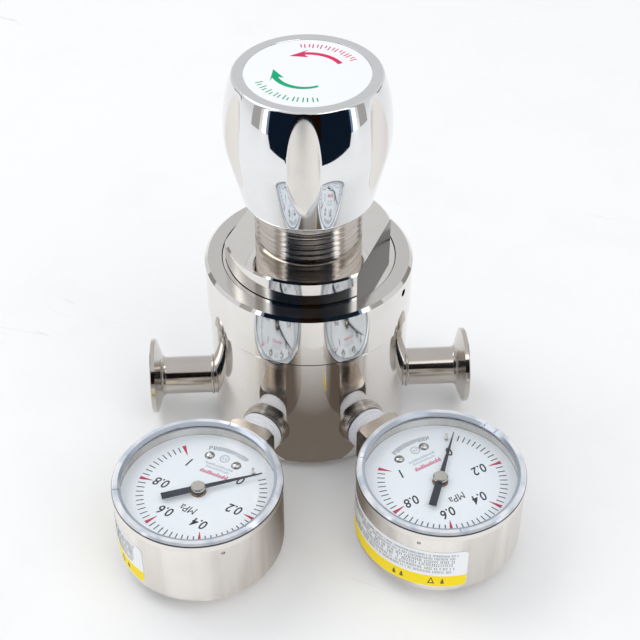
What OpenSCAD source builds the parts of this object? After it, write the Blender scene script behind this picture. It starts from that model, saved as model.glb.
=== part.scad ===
// Sanitary pressure reducing valve: tri-clamp ports, adjusting knob, two pressure gauges.
// Frame: +Z up, origin on the valve's axis at the underside of its foot, inlet to -X,
// outlet to +X, gauges to -Y. All sizes in millimetres.

/* [Valve body] */
// radius of the lower body
body_r = 32.3; // [28:0.1:40]
// height of the lower body's underside above the table
body_z0 = 2.5; // [1:0.1:5]
// height of the seam between body and upper housing
seam_z = 47; // [40:0.5:55]
// radius of the bowl that the bonnet screws into
bowl_r = 27.6; // [24:0.1:29]
// height of the diaphragm's seating face
diaphragm_z = 44; // [42:0.5:46]

/* [Upper housing] */
// outer radius of the housing ring
ring_r = 33; // [30:0.1:41]
// height of the housing ring's top face
ring_z1 = 65.7; // [60:0.1:75]
// angle of the vent hole from the front, towards the outlet
vent_az = 60.4; // [0:1:90]

/* [Bonnet and neck] */
// radius of the bonnet's wrench plate
plate_r = 26.7; // [24:0.1:29]
// height of the wrench plate's top face
plate_z1 = 74.7; // [70:0.1:80]
// distance across the wrench flats
flats_af = 43.9; // [40:0.1:50]
// angle of the flats' normal from the outlet direction
flats_ang = -24.8; // [-90:0.1:90]
// crest radius of the neck's thread
neck_r = 16.8; // [14:0.1:20]
// thread pitch of the neck
pitch = 2; // [1:0.5:3]
// height of the neck's top
neck_z1 = 112; // [105:1:116]
// radius of the spring bore in the neck
neck_bore = 12.5; // [10:0.1:14]

/* [Knob] */
// height of the knob's lower edge when fully released
knob_z0 = 89.2; // [85:0.1:95]
// height of the knob's top
knob_z1 = 131.3; // [120:0.1:140]
// radius of the knob's lower edge
knob_r0 = 20.3; // [18:0.1:24]
// largest radius of the knob
knob_rmax = 25.2; // [22:0.1:30]
// radius of the round finger grooves
groove_r = 6.16; // [4:0.1:9]
// distance of the finger grooves' centres from the axis
groove_d = 28.36; // [26:0.1:32]
// turn of the knob at rest
knob_ang = -5.4; // [-30:0.1:30]

/* [Ports] */
// height of the port axis
port_z = 14.5; // [12:0.1:20]
// distance from the valve's axis to a ferrule's gasket face
port_x = 53.5; // [45:0.5:70]
// ferrule flange radius
ferrule_r = 12.6; // [12:0.1:26]
// tube outer radius
tube_r = 6.35; // [5:0.05:12]
// tube bore radius
tube_b = 4.7; // [4:0.05:11]
// radius of the body's inlet and outlet passages
passage_r = 5; // [4.5:0.1:5.5]

/* [Gauges] */
// sideways distance of a gauge's centre from the valve's axis
gauge_x = 36.5; // [35:0.1:40]
// forward distance of a gauge's centre from the valve's axis
gauge_y = 63.5; // [62:0.1:66]
// angle of the gauge ports from the front
gauge_az = 31; // [29:0.5:33]
// outer diameter of a gauge over its bezel
gauge_od = 51.3; // [50:0.1:52]
// height of a gauge's front face
gauge_z1 = 31.7; // [31:0.1:40]
// distance across the flats of a gauge stem
stem_af = 14; // [13:0.5:14]

/* [View] */
// which piece to make

/* [Hidden] */
$fn = 96;
eps = 0.02;
// outer radius and bore of a gauge boss
boss_r = 7.75;
boss_bore = 6.6;
// one gauge as drawn: bezel and case radii, then its levels from the underside up
bezel_r = 25.05;
case_r = 24.9;
case_z0 = 12.45;
stem_z = 26.2;
dial_zt = 34.5;
case_zt = 37.6;
bezel_z1 = 40.1;
// size of the placed gauge over the drawn one, and the height of the gauge ports' axis
gauge_k = gauge_od / 2 / bezel_r;
axis_z = gauge_z1 + gauge_k * (stem_z - bezel_z1);
// where the stem's square ends, its thread's length, and the dial screws' places
square_y = -32.7;
thread_len = 19.8;
dial_turn = 5;
screw_angles = [161.7, 198.3];
screw_r = 14.7;
bowl_zt = 56;
flange_z = ring_z1 - 0.3;
clamp_z1 = diaphragm_z + 2.8;

steel = [0.80, 0.79, 0.77];
satin = [0.68, 0.66, 0.62];
dark = [0.16, 0.17, 0.20];
white = [0.95, 0.95, 0.96];
amber = [0.86, 0.72, 0.44];
rubber = [0.10, 0.10, 0.10];
glass = [0.80, 0.88, 0.92, 0.35];

// ---------- helpers ----------

// a plain tube or ring standing on z0
module tube(r_out, r_in, z0, z1) {
    translate([0, 0, z0])
        difference() {
            cylinder(r = r_out, h = z1 - z0);
            translate([0, 0, -1])
                cylinder(r = r_in, h = z1 - z0 + 2);
        }
}

// a cylinder from z0 to z1 with bevelled ends
module bevelled(r, z0, z1, b) {
    rotate_extrude()
        polygon([[0, z0], [r - b, z0], [r, z0 + b], [r, z1 - b], [r - b, z1], [0, z1]]);
}

// a cylinder lying along a horizontal radius at angle az from the front, between d0 and d1
module radial(az, z, r, d0, d1) {
    translate([0, 0, z])
        rotate([0, 0, az])
            translate([0, -d0, 0])
                rotate([90, 0, 0])
                    cylinder(r = r, h = d1 - d0);
}

// an o-ring lying flat
module oring(r, cs, z) {
    translate([0, 0, z])
        rotate_extrude()
            translate([r, 0])
                circle(r = cs, $fn = 32);
}

// round-wire coil of n turns between the wire centres z0 and z1
module coil(r, w, z0, z1, n, steps = 24, sides = 8) {
    count = n * steps;
    points = [for (i = [0 : count], j = [0 : sides - 1])
        let (a = 360 * i / steps, b = 360 * j / sides)
        [(r + w * cos(b)) * cos(a), (r + w * cos(b)) * sin(a),
            z0 + (z1 - z0) * i / count + w * sin(b)]];
    skin = [for (i = [0 : count - 1], j = [0 : sides - 1])
        let (k = (j + 1) % sides)
        [i * sides + j, i * sides + k, (i + 1) * sides + k, (i + 1) * sides + j]];
    first = [[for (j = [sides - 1 : -1 : 0]) j]];
    last = [[for (j = [0 : sides - 1]) count * sides + j]];
    polyhedron(points, concat(skin, first, last), convexity = 10);
}

// puts a gauge piece in place: local +Y is 12 o'clock, the stem runs towards -Y
module at_gauge(side) {
    translate([side * gauge_x, -gauge_y, gauge_z1 - gauge_k * bezel_z1])
        rotate([0, 0, 180 + side * gauge_az])
            scale(gauge_k)
                children();
}

// lays a shape that stands on z = 0 along a gauge port's axis, from the gauge's centre inwards
module at_port(side) {
    translate([side * gauge_x, -gauge_y, axis_z])
        rotate([0, 0, 180 + side * gauge_az])
            rotate([90, 0, 0])
                children();
}

// a bore on a gauge port's axis, between the distances a and b from the gauge's centre
module port_bore(side, r, a, b) {
    at_port(side)
        translate([0, 0, a])
            cylinder(r = r, h = b - a);
}

// local position at clock angle a (clockwise from 12) and radius r
function clock(a, r) = [r * sin(a), r * cos(a)];

// ---------- valve body ----------

module body() {
    color(steel)
        difference() {
            union() {
                bevelled(body_r, body_z0, seam_z, 0.5);
                translate([0, 0, seam_z - 1])
                    cylinder(r = 30.2, h = bowl_zt - seam_z + 1);
            }
            // bowl for the bonnet, and the diaphragm chamber under it
            translate([0, 0, diaphragm_z])
                cylinder(r = bowl_r, h = 20);
            translate([0, 0, diaphragm_z - 2.5])
                cylinder(r = 21, h = 5);
            // groove of the diaphragm's o-ring
            tube(26, 23.2, diaphragm_z - 1.5, diaphragm_z + 1);
            // orifice, seat recess, poppet chamber and plug bore
            translate([0, 0, 30])
                cylinder(r = 3.5, h = 20);
            translate([0, 0, 5])
                cylinder(r = 8, h = 29);
            translate([0, 0, 5])
                cylinder(r = 6.6, h = 31.5);
            translate([0, 0, 0])
                cylinder(r = 9, h = 12);
            tube(12.4, 10, body_z0 - 1, body_z0 + 1.5);
            // inlet passage and its socket
            translate([-40, 0, port_z])
                rotate([0, 90, 0])
                    cylinder(r = passage_r, h = 34);
            translate([-40, 0, port_z])
                rotate([0, 90, 0])
                    cylinder(r = tube_r + 0.05, h = 12);
            // outlet passage, its socket and its riser
            translate([12, 0, port_z])
                rotate([0, 90, 0])
                    cylinder(r = passage_r, h = 28);
            translate([28, 0, port_z])
                rotate([0, 90, 0])
                    cylinder(r = tube_r + 0.05, h = 12);
            translate([15, 0, port_z])
                cylinder(r = 3, h = 30);
            // gauge ports: socket of the boss, threaded bore, passage
            for (side = [-1, 1]) {
                port_bore(side, boss_r + 0.05, 30, 47);
                port_bore(side, boss_bore, 30, 54.4);
            }
            port_bore(-1, 1.8, 54, 67);
            port_bore(1, 1.8, 54, 58);
            // riser from the outlet gauge's passage to the diaphragm chamber
            at_port(1)
                translate([0, 0, 58])
                    rotate([-90, 0, 0])
                        cylinder(r = 1.8, h = diaphragm_z - axis_z);
        }
}

module upper_housing() {
    color(steel)
        difference() {
            rotate_extrude()
                polygon([[0, seam_z + 0.03], [ring_r - 0.5, seam_z + 0.03],
                    [ring_r, seam_z + 0.5], [ring_r, ring_z1 - 1],
                    [ring_r - 1, ring_z1], [0, ring_z1]]);
            translate([0, 0, seam_z - 1])
                cylinder(r = 30.28, h = bowl_zt - seam_z + 1.3);
            translate([0, 0, seam_z])
                cylinder(r = bowl_r, h = 30);
            // vent of the spring chamber
            radial(vent_az, 61.3, 1.25, 20, 40);
        }
}

module bonnet() {
    color(steel)
        difference() {
            union() {
                // barrel that screws into the housing
                rotate_extrude()
                    difference() {
                        translate([0, clamp_z1])
                            square([bowl_r - 0.3, flange_z - clamp_z1]);
                        for (z = [50 : 1.5 : 62])
                            translate([bowl_r - 0.3, z])
                                rotate([0, 0, 45])
                                    square(0.8, center = true);
                    }
                // plate with two wrench flats
                intersection() {
                    rotate_extrude()
                        polygon([[0, flange_z - 1], [plate_r, flange_z - 1],
                            [plate_r, plate_z1 - 0.6], [plate_r - 0.6, plate_z1],
                            [0, plate_z1]]);
                    rotate([0, 0, flats_ang])
                        translate([-flats_af / 2, -40, flange_z - 1])
                            cube([flats_af, 80, 12]);
                }
                // threaded neck
                rotate_extrude()
                    difference() {
                        polygon([[0, plate_z1 - 2], [neck_r - 0.7, plate_z1 - 2],
                            [neck_r - 0.7, plate_z1 + 0.7], [neck_r, plate_z1 + 1.1],
                            [neck_r, neck_z1 - 1], [neck_r - 1, neck_z1],
                            [0, neck_z1]]);
                        for (z = [plate_z1 + 2.1 : pitch : neck_z1 - 2])
                            translate([neck_r + 0.1, z])
                                rotate([0, 0, 45])
                                    square(1.4, center = true);
                    }
            }
            // spring chamber, and the guide bore in the neck
            translate([0, 0, clamp_z1 - 1])
                cylinder(r = 20.5, h = 70 - clamp_z1 + 1);
            translate([0, 0, 60])
                cylinder(r = neck_bore, h = 60);
            // vent, in line with the housing's
            radial(vent_az, 61.3, 1.25, 15, 40);
        }
}

// tri-clamp ferrule, drawn along +Z from the valve's axis and laid on its side
module ferrule(side) {
    x0 = 28.1;
    color(steel)
        translate([0, 0, port_z])
            rotate([0, side * 90, 0])
                rotate_extrude()
                    difference() {
                        union() {
                            translate([tube_b, x0])
                                square([tube_r - tube_b, port_x - x0 - 1]);
                            polygon([[tube_b, port_x], [ferrule_r - 0.3, port_x],
                                [ferrule_r, port_x - 0.3], [ferrule_r, port_x - 1.6],
                                [7.9, port_x - 3.35], [tube_r, port_x - 4.9],
                                [tube_b, port_x - 4.9]]);
                            translate([tube_r - 0.05, 32.88])
                                circle(r = 0.5, $fn = 24);
                        }
                        // root radius behind the flange
                        translate([tube_r + 1.78, port_x - 5.1])
                            circle(r = 1.75, $fn = 48);
                        // half-round gasket groove in the face
                        translate([10, port_x + 0.5])
                            circle(r = 1.4, $fn = 48);
                    }
}

module inlet_ferrule() {
    ferrule(-1);
}

module outlet_ferrule() {
    ferrule(1);
}

// weld-in boss with a female thread for a gauge
module gauge_boss(side) {
    color(satin)
        at_port(side)
            rotate_extrude()
                polygon([[boss_bore, 46.95], [boss_r, 46.95], [boss_r, 39.6],
                    [boss_r - 0.25, 39.3], [boss_r - 0.25, 39.05], [boss_r - 0.5, 38.8],
                    [boss_bore, 38.8]]);
}

module inlet_gauge_boss() {
    gauge_boss(-1);
}

module outlet_gauge_boss() {
    gauge_boss(1);
}

// ---------- bottom closure, seat and poppet ----------

module bottom_plug() {
    color(steel)
        difference() {
            union() {
                bevelled(17, 0, body_z0 - 0.02, 0.5);
                translate([0, 0, 1])
                    cylinder(r = 8.95, h = 11);
            }
            // two holes for the pin spanner
            for (x = [-12.5, 12.5])
                translate([x, 0, -1])
                    cylinder(r = 1.5, h = 2.6, $fn = 32);
            // guide bore of the poppet, and the poppet spring's pocket
            translate([0, 0, 6])
                cylinder(r = 2.05, h = 10);
            tube(5.4, 3.1, 10.5, 13);
        }
}

module plug_oring() {
    color(rubber)
        oring(11.2, 0.72, body_z0 + 0.74);
}

module seat_insert() {
    color(white)
        tube(6.55, 3.6, 34.02, 36.45);
}

module poppet() {
    color(steel)
        rotate_extrude()
            polygon([[0, 8], [1.6, 8], [2, 8.4], [2, 30], [5.5, 30], [5.5, 33.2],
                [4.8, 33.9], [2.6, 33.9], [1.8, 34.8], [1.8, 45], [1.5, 45.3],
                [0, 45.3]]);
}

module poppet_spring() {
    color(satin)
        coil(4.25, 0.5, 11.1, 29.4, 7);
}

// ---------- diaphragm and range spring ----------

module diaphragm_oring() {
    color(rubber)
        oring(24.6, 0.72, diaphragm_z - 0.76);
}

// dished disc, flat where it is clamped
module diaphragm() {
    color(amber)
        rotate_extrude()
            polygon([[0, 45.6], [17, 45.6], [20.5, diaphragm_z], [27.2, diaphragm_z],
                [27.2, diaphragm_z + 0.6], [20.8, diaphragm_z + 0.6], [17.3, 46.2],
                [0, 46.2]]);
}

module clamp_ring() {
    color(satin)
        tube(27.3, 21.8, diaphragm_z + 0.62, clamp_z1 - 0.02);
}

module diaphragm_plate() {
    color(satin)
        rotate_extrude()
            polygon([[0, 46.25], [16.5, 46.25], [17.5, 47.2], [17.5, 49.5], [16.8, 50],
                [7.2, 50], [7.2, 54.4], [6.6, 55], [0, 55]]);
}

module range_spring() {
    color(satin)
        coil(10, 1.6, 51.7, 99.3, 7, 28, 10);
}

// upper spring plate, guided in the neck's bore
module spring_button() {
    color(satin)
        difference() {
            rotate_extrude()
                polygon([[0, 97], [6.6, 97], [7.2, 97.6], [7.2, 101], [11.8, 101],
                    [12.42, 101.6], [12.42, 106.4], [11.8, 107], [0, 107]]);
            translate([0, 0, 109])
                sphere(r = 4, $fn = 48);
        }
}

module thrust_ball() {
    color(steel)
        translate([0, 0, 109])
            sphere(r = 3.97, $fn = 48);
}

// ---------- knob ----------

// half section of the barrel-shaped knob, solid
module knob_outline() {
    z_mid = 113.5;
    z_low = z_mid - 7.2;
    intersection() {
        union() {
            intersection() {
                translate([0, z_mid])
                    square([40, knob_z1 - z_mid]);
                translate([knob_rmax - 50, z_mid])
                    circle(r = 50, $fn = 360);
            }
            intersection() {
                translate([0, z_low])
                    square([40, z_mid - z_low + eps]);
                translate([knob_rmax - 31.3, z_mid])
                    circle(r = 31.3, $fn = 360);
            }
            polygon([[0, knob_z0], [knob_r0, knob_z0], [knob_rmax - 0.84, z_low + eps],
                [0, z_low + eps]]);
        }
        // eased edges at the top and the foot
        polygon([[0, knob_z0], [knob_r0 - 0.5, knob_z0], [knob_r0 + 0.4, knob_z0 + 0.7],
            [40, knob_z0 + 5], [40, knob_z1 - 5], [21.95, knob_z1 - 0.45],
            [21.55, knob_z1], [0, knob_z1]]);
    }
}

module knob() {
    color(steel)
        rotate([0, 0, knob_ang])
            difference() {
                rotate_extrude()
                    knob_outline();
                for (i = [0 : 5])
                    rotate([0, 0, i * 60])
                        translate([0, -groove_d, 80])
                            cylinder(r = groove_r, h = 60);
                // bore that runs on the neck, and the pusher's seat above it
                translate([0, 0, knob_z0 - 1])
                    cylinder(r = neck_r + 0.08, h = 126 - knob_z0 + 1);
                translate([0, 0, knob_z0 - 1])
                    cylinder(r1 = neck_r + 2, r2 = neck_r, h = 2);
                translate([0, 0, 120])
                    cylinder(r = 4, h = 9);
                // recess of the label
                translate([0, 0, knob_z1 - 0.7])
                    cylinder(r = 18.6, h = 2);
            }
}

// centre post that presses the spring down, with a ball socket
module knob_pusher() {
    color(satin)
        difference() {
            rotate_extrude()
                polygon([[0, 110.5], [5.4, 110.5], [6, 111.1], [6, 122], [8.5, 122],
                    [8.5, 125.98], [3.98, 125.98], [3.98, 128.9], [0, 128.9]]);
            translate([0, 0, 109])
                sphere(r = 4.02, $fn = 48);
        }
}

module knob_label() {
    color(white)
        rotate([0, 0, knob_ang])
            translate([0, 0, knob_z1 - 0.68])
                cylinder(r = 18.5, h = 0.5);
}

// ---------- one gauge, in its local frame ----------

module gauge_case(vent) {
    zi = case_z0 + 1;
    color(satin)
        difference() {
            rotate_extrude()
                difference() {
                    union() {
                        translate([0, case_z0 + 4])
                            square([case_r, 37 - case_z0 - 4]);
                        translate([0, case_z0])
                            square([case_r - 4, 5]);
                        translate([case_r - 4, case_z0 + 4])
                            circle(r = 4, $fn = 96);
                        translate([0, 30])
                            square([24, case_zt - 30]);
                    }
                    translate([0, zi + 3.1])
                        square([23.9, 30.5 - zi]);
                    translate([0, zi])
                        square([20.8, 10]);
                    translate([20.8, zi + 3.1])
                        circle(r = 3.1, $fn = 96);
                    translate([0, 30])
                        square([23.2, 20]);
                }
            // opening for the stem
            translate([-stem_af / 2 - 0.03, -30, stem_z - stem_af / 2 - 0.03])
                cube([stem_af + 0.06, 9, stem_af + 0.06]);
            // breather hole
            rotate([0, 0, -vent])
                translate([0, 20, 35])
                    rotate([-90, 0, 0])
                        cylinder(r = 0.6, h = 10, $fn = 24);
        }
}

module gauge_bezel(slits) {
    color(steel)
        difference() {
            rotate_extrude()
                polygon([[24.05, 37.05], [bezel_r, 37.05], [bezel_r, 39.3],
                    [24.4, bezel_z1], [23.2, bezel_z1], [22.3, 39.6], [22.3, 39.15],
                    [24.05, 39.15]]);
            // crimp slits
            for (a = slits)
                rotate([0, 0, -a])
                    translate([-0.2, 22, 39.7])
                        cube([0.4, 4, 1]);
        }
}

module gauge_window() {
    color(glass)
        translate([0, 0, 38.12])
            cylinder(r = 23.95, h = 1);
}

module gauge_gasket() {
    color(rubber)
        tube(23.9, 22.7, case_zt + 0.02, 38.1);
}

module gauge_dial(turn) {
    color(white)
        difference() {
            translate([0, 0, dial_zt - 0.6])
                cylinder(r = 23.1, h = 0.6);
            cylinder(r = 2.4, h = 60);
            for (a = screw_angles)
                translate(clock(a, screw_r))
                    cylinder(r = 0.85, h = 60, $fn = 24);
            translate(clock(219 + turn, 17.2))
                cylinder(r = 0.45, h = 60, $fn = 24);
        }
}

module gauge_dial_screws() {
    color(steel)
        for (a = screw_angles)
            translate(clock(a, screw_r))
                difference() {
                    union() {
                        translate([0, 0, 30.6])
                            cylinder(r = 0.8, h = 4, $fn = 24);
                        rotate_extrude($fn = 48)
                            intersection() {
                                translate([0, dial_zt + 0.02])
                                    square([1.6, 1]);
                                translate([0, dial_zt - 1.1])
                                    circle(r = 1.95, $fn = 64);
                            }
                    }
                    rotate([0, 0, a])
                        translate([-2, -0.2, dial_zt + 0.5])
                            cube([4, 0.4, 1]);
                }
}

module gauge_stop_pin(turn) {
    color(steel)
        translate(clock(219 + turn, 17.2))
            union() {
                translate([0, 0, 33])
                    cylinder(r = 0.4, h = 3.9, $fn = 24);
                translate([0, 0, dial_zt + 0.02])
                    cylinder(r = 0.7, h = 0.4, $fn = 24);
            }
}

// needle at zero, with a square tail, a boss and a hub cap
module gauge_pointer(turn) {
    color(dark)
        rotate([0, 0, -225 - turn])
            difference() {
                union() {
                    translate([0, 0, 35.9])
                        linear_extrude(height = 0.35)
                            polygon([[-1.15, -11], [1.15, -11], [1.05, -2], [0.75, 1.5],
                                [0.45, 10], [0.1, 19.4], [-0.1, 19.4], [-0.45, 10],
                                [-0.75, 1.5], [-1.05, -2]]);
                    translate([0, 0, 34.9])
                        cylinder(r = 1.95, h = 1.3, $fn = 48);
                    // hub cap
                    rotate_extrude($fn = 48)
                        polygon([[0, 36.1], [2.2, 36.1], [2.2, 36.75], [1.9, 37.05],
                            [0, 37.05]]);
                }
                translate([0, 0, 30])
                    cylinder(r = 0.62, h = 6.6, $fn = 32);
            }
}

// arbor with a 12-leaf pinion
module gauge_arbor() {
    color(amber)
        union() {
            translate([0, 0, 19.6])
                cylinder(r = 0.6, h = 16.9, $fn = 32);
            translate([0, 0, 24.8])
                linear_extrude(height = 2.4)
                    union() {
                        circle(r = 1.3, $fn = 32);
                        for (i = [0 : 11])
                            rotate([0, 0, i * 30 + 15])
                                translate([0.9, -0.15])
                                    square([1.15, 0.3]);
                    }
        }
}

sector_d = 10.8;

// the link's line, midway between the ends of the tail's swing
link_x = sector_d + 3.215;

// toothed sector, 60 teeth to the full circle, with a tail for the link
module gauge_sector() {
    color(amber)
        translate([sector_d, 0, 0])
            union() {
                translate([0, 0, 25.2])
                    linear_extrude(height = 1.6)
                        union() {
                            intersection() {
                                difference() {
                                    circle(r = 8.55, $fn = 96);
                                    circle(r = 7, $fn = 96);
                                }
                                polygon([[0, 0], [-19.7, -3.5], [-20, 11.5], [-9.4, 17.7]]);
                            }
                            for (i = [-1 : 10])
                                rotate([0, 0, 180 - i * 6])
                                    translate([8.4, -0.15])
                                        square([0.85, 0.3]);
                            rotate([0, 0, 152])
                                translate([0, -0.9])
                                    square([7.6, 1.8]);
                            rotate([0, 0, -27])
                                translate([0, -0.9])
                                    square([4.2, 1.8]);
                            circle(r = 1.8, $fn = 48);
                        }
                translate([0, 0, 19.6])
                    cylinder(r = 0.7, h = 12.4, $fn = 32);
                rotate([0, 0, -27])
                    translate([3.4, 0, 25.2])
                        cylinder(r = 0.45, h = 3.6, $fn = 24);
            }
}

// slotted link from the tube's tip to the sector's tail
module gauge_link() {
    color(satin)
        translate([link_x, 0, 27.3])
            linear_extrude(height = 0.8)
                difference() {
                    union() {
                        translate([0, -1.54])
                            circle(r = 1.5, $fn = 32);
                        translate([-1, -1.54])
                            square([2, 12.2]);
                    }
                    translate([0, -1.54])
                        circle(r = 0.95, $fn = 32);
                    translate([-0.6, 5.6])
                        square([1.2, 4.2]);
                }
}

// two plates, two pillars and the bushes of the movement
module gauge_movement() {
    color(amber)
        difference() {
            union() {
                for (z = [20, 30.8])
                    translate([0, 0, z])
                        linear_extrude(height = 1.2)
                            union() {
                                translate([-4, -5])
                                    square([18, 9.5]);
                                translate([-3.5, -9])
                                    square([7, 5]);
                            }
                for (x = [-2.2, 2.2])
                    translate([x, -7.4, 20])
                        cylinder(r = 1.1, h = 13.88, $fn = 32);
            }
            translate([0, 0, 18])
                cylinder(r = 0.65, h = 20, $fn = 32);
            translate([sector_d, 0, 18])
                cylinder(r = 0.75, h = 20, $fn = 32);
        }
}

// C-shaped pressure tube from the socket round to the link
module gauge_bourdon() {
    color(amber)
        union() {
            translate([0, 0, 23.5])
                rotate([0, 0, 30])
                    rotate_extrude(angle = 230)
                        difference() {
                            translate([16.8, -2.8])
                                square([2, 5.6]);
                            translate([17.3, -2.3])
                                square([1, 4.6]);
                        }
            // end piece with the link's pin
            rotate([0, 0, 29.5])
                rotate_extrude(angle = 7)
                    translate([15.8, 20.5])
                        square([3.2, 6.5]);
            translate([link_x, 9.2, 26.5])
                cylinder(r = 0.45, h = 2.3, $fn = 24);
        }
}

module gauge_stem() {
    color(satin)
        difference() {
            union() {
                // wrench square, eased at its free end
                intersection() {
                    translate([-stem_af / 2, square_y, stem_z - stem_af / 2])
                        cube([stem_af, -22.2 - square_y, stem_af]);
                    translate([0, square_y, stem_z])
                        rotate([-90, 0, 0])
                            cylinder(r1 = 8.6, r2 = 25, h = 16.4);
                }
                // socket block inside the case
                translate([-6, -22.5, 14])
                    cube([12, 10.5, 15]);
                // posts that the dial is screwed to
                for (a = screw_angles)
                    translate(clock(a, screw_r))
                        translate([0, 0, 25])
                            cylinder(r = 1.3, h = 8.88, $fn = 32);
                translate([-3.6, -14.5, 14])
                    cube([7.2, 9.6, 5.95]);
                // threaded end
                translate([0, square_y + 0.2, stem_z])
                    rotate([90, 0, 0])
                        rotate_extrude()
                            polygon([[0, 0], [6.4, 0], [6.4, thread_len - 1],
                                [5.6, thread_len], [0, thread_len]]);
            }
            // pressure passage to the tube's end, and the screw holes in the posts
            translate([0, -16.5, stem_z])
                rotate([90, 0, 0])
                    cylinder(r = 1.5, h = 42, $fn = 48);
            translate([-3.4, -17.5, stem_z - 0.6])
                rotate([0, 90, 0])
                    cylinder(r = 0.7, h = 3.4, $fn = 24);
            for (a = screw_angles)
                translate(clock(a, screw_r))
                    translate([0, 0, 30])
                        cylinder(r = 0.85, h = 5, $fn = 24);
            // slot that the pressure tube is soldered into
            rotate([0, 0, -113])
                translate([0, 0, 20.65])
                    rotate_extrude(angle = 13.3)
                        translate([16.75, 0])
                            square([2.1, 5.7]);
        }
}

// thread tape showing between the boss and the wrench square
module gauge_tape() {
    color(white)
        translate([0, square_y - 0.05, stem_z])
            rotate([90, 0, 0])
                rotate_extrude()
                    polygon([[6.42, 0], [6.85, 0], [6.95, 0.4], [6.95, 1.6], [6.9, 1.8],
                        [6.95, 2], [6.95, 3.2], [6.9, 3.4], [6.95, 3.6], [6.95, 4.5],
                        [6.8, 4.9], [6.42, 4.9]]);
}

// printed sticker round part of the case
module gauge_sticker(start) {
    color(white)
        rotate([0, 0, start])
            rotate_extrude(angle = 115)
                translate([case_r + 0.02, 17])
                    square([0.1, 15]);
}

module inlet_gauge_case() {
    at_gauge(-1)
        gauge_case(-48);
}

module inlet_gauge_bezel() {
    at_gauge(-1)
        gauge_bezel([52, 173, 293]);
}

module inlet_gauge_window() {
    at_gauge(-1)
        gauge_window();
}

module inlet_gauge_gasket() {
    at_gauge(-1)
        gauge_gasket();
}

module inlet_gauge_dial() {
    at_gauge(-1)
        gauge_dial(0);
}

module inlet_gauge_dial_screws() {
    at_gauge(-1)
        gauge_dial_screws();
}

module inlet_gauge_stop_pin() {
    at_gauge(-1)
        gauge_stop_pin(0);
}

module inlet_gauge_pointer() {
    at_gauge(-1)
        gauge_pointer(0);
}

module inlet_gauge_arbor() {
    at_gauge(-1)
        gauge_arbor();
}

module inlet_gauge_movement() {
    at_gauge(-1)
        gauge_movement();
}

module inlet_gauge_sector() {
    at_gauge(-1)
        gauge_sector();
}

module inlet_gauge_link() {
    at_gauge(-1)
        gauge_link();
}

module inlet_gauge_bourdon() {
    at_gauge(-1)
        gauge_bourdon();
}

module inlet_gauge_stem() {
    at_gauge(-1)
        gauge_stem();
}

module inlet_gauge_tape() {
    at_gauge(-1)
        gauge_tape();
}

module inlet_gauge_sticker() {
    at_gauge(-1)
        gauge_sticker(-34.6);
}

module outlet_gauge_case() {
    at_gauge(1)
        gauge_case(52);
}

module outlet_gauge_bezel() {
    at_gauge(1)
        gauge_bezel([25, 135, 253, 263]);
}

module outlet_gauge_window() {
    at_gauge(1)
        gauge_window();
}

module outlet_gauge_gasket() {
    at_gauge(1)
        gauge_gasket();
}

module outlet_gauge_dial() {
    at_gauge(1)
        gauge_dial(dial_turn);
}

module outlet_gauge_dial_screws() {
    at_gauge(1)
        gauge_dial_screws();
}

module outlet_gauge_stop_pin() {
    at_gauge(1)
        gauge_stop_pin(dial_turn);
}

module outlet_gauge_pointer() {
    at_gauge(1)
        gauge_pointer(dial_turn);
}

module outlet_gauge_arbor() {
    at_gauge(1)
        gauge_arbor();
}

module outlet_gauge_movement() {
    at_gauge(1)
        gauge_movement();
}

module outlet_gauge_sector() {
    at_gauge(1)
        gauge_sector();
}

module outlet_gauge_link() {
    at_gauge(1)
        gauge_link();
}

module outlet_gauge_bourdon() {
    at_gauge(1)
        gauge_bourdon();
}

module outlet_gauge_stem() {
    at_gauge(1)
        gauge_stem();
}

module outlet_gauge_tape() {
    at_gauge(1)
        gauge_tape();
}

module outlet_gauge_sticker() {
    at_gauge(1)
        gauge_sticker(-43.4);
}

// ---------- selection ----------

body();
upper_housing();
bonnet();
inlet_ferrule();
outlet_ferrule();
inlet_gauge_boss();
outlet_gauge_boss();
bottom_plug();
plug_oring();
seat_insert();
diaphragm_oring();
diaphragm();
clamp_ring();
diaphragm_plate();
poppet();
poppet_spring();
range_spring();
spring_button();
thrust_ball();
knob();
knob_pusher();
knob_label();
inlet_gauge_case();
inlet_gauge_bezel();
inlet_gauge_window();
inlet_gauge_gasket();
inlet_gauge_dial();
inlet_gauge_dial_screws();
inlet_gauge_stop_pin();
inlet_gauge_pointer();
inlet_gauge_arbor();
inlet_gauge_movement();
inlet_gauge_sector();
inlet_gauge_link();
inlet_gauge_bourdon();
inlet_gauge_stem();
inlet_gauge_tape();
inlet_gauge_sticker();
outlet_gauge_case();
outlet_gauge_bezel();
outlet_gauge_window();
outlet_gauge_gasket();
outlet_gauge_dial();
outlet_gauge_dial_screws();
outlet_gauge_stop_pin();
outlet_gauge_pointer();
outlet_gauge_arbor();
outlet_gauge_movement();
outlet_gauge_sector();
outlet_gauge_link();
outlet_gauge_bourdon();
outlet_gauge_stem();
outlet_gauge_tape();
outlet_gauge_sticker();
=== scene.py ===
"""Looks of the pressure reducing valve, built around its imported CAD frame.

The inlet ferrule is on -X, the outlet ferrule on +X and the two gauges stand in front (-Y).
Shapes are drawn in millimetres and scaled by MM; the stage's cards and lights are in metres.
"""

import math
import random

import bmesh
import bpy
from mathutils import Matrix, Vector


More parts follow.
